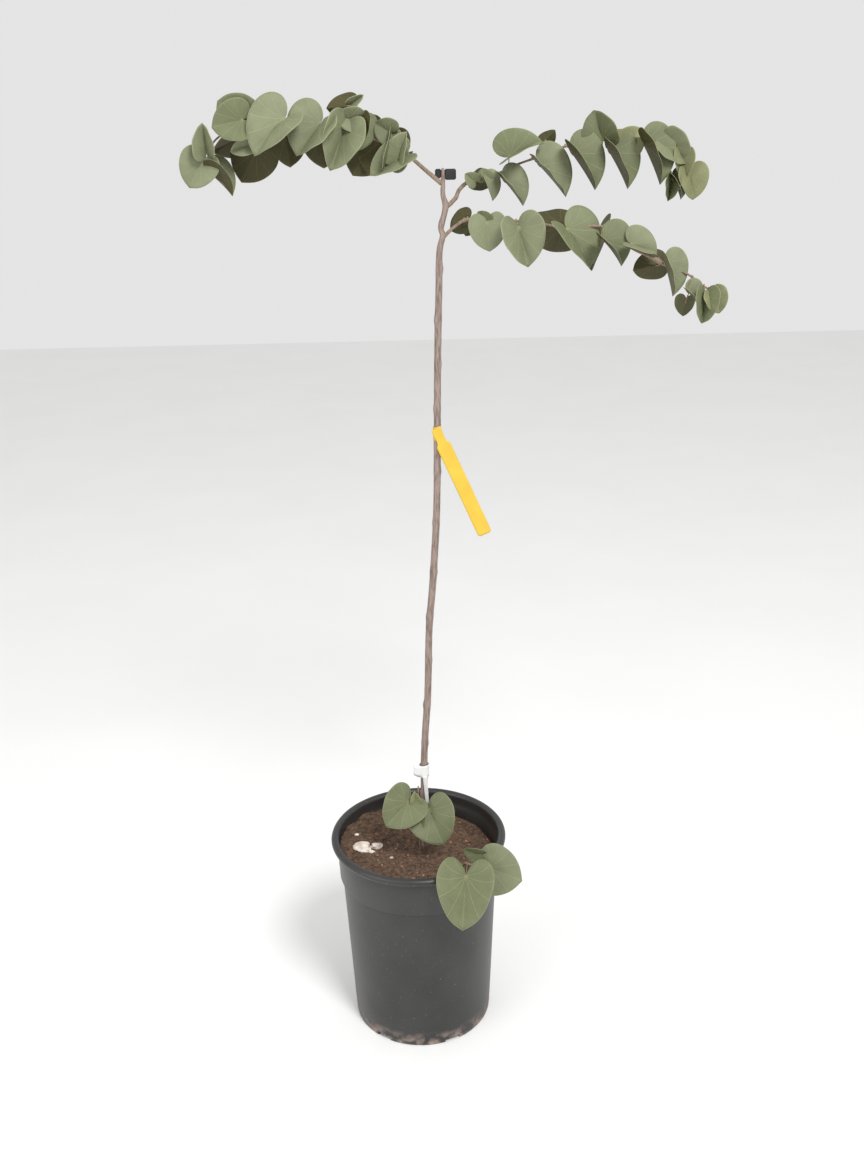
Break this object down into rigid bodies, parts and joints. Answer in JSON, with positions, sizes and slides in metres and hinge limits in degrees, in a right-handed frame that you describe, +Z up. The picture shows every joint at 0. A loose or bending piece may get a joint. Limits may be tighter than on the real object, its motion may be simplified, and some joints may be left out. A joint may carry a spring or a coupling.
{
  "type": "potted western redbud sapling",
  "caption": "Young redbud standard in a black nursery pot, slender bare trunk, spreading boughs with folded round leaves, leafy shoots at the foot, blank hanging label.",
  "frame": {"origin": "centre of the pot's flat underside", "axes": "+Z up along the pot's axis, +X to the picture's right, -Y towards the picture's viewer"},
  "size_m": [0.6621, 0.2933, 1.3406],
  "materials": {
    "pot": "scuffed charcoal black nursery plastic",
    "soil": "brown bark potting mix",
    "bark": "smooth pinkish grey-brown young bark",
    "foliage": "matt grey-green leaves with pale veins",
    "label": "blank yellow plastic strip",
    "band": "blank white strip",
    "clip": "black plastic"
  },
  "bodies": {
    "root": {"pot": "pot", "root_ball": "soil", "trunk": "bark", "left_bough": "bark", "upper_bough": "bark", "lower_bough": "bark", "foot_shoot": "bark", "rim_shoot": "bark", "left_mass_1": "foliage", "left_mass_2": "foliage", "left_mass_3": "foliage", "left_mass_4": "foliage", "upper_mass_1": "foliage", "upper_mass_2": "foliage", "upper_mass_3": "foliage", "upper_mass_4": "foliage", "lower_mass_1": "foliage", "lower_mass_2": "foliage", "lower_mass_3": "foliage", "lower_mass_4": "foliage", "foot_mass": "foliage", "rim_mass": "foliage", "label": "label", "band": "band", "clip": "clip"}
  },
  "joints": []
}
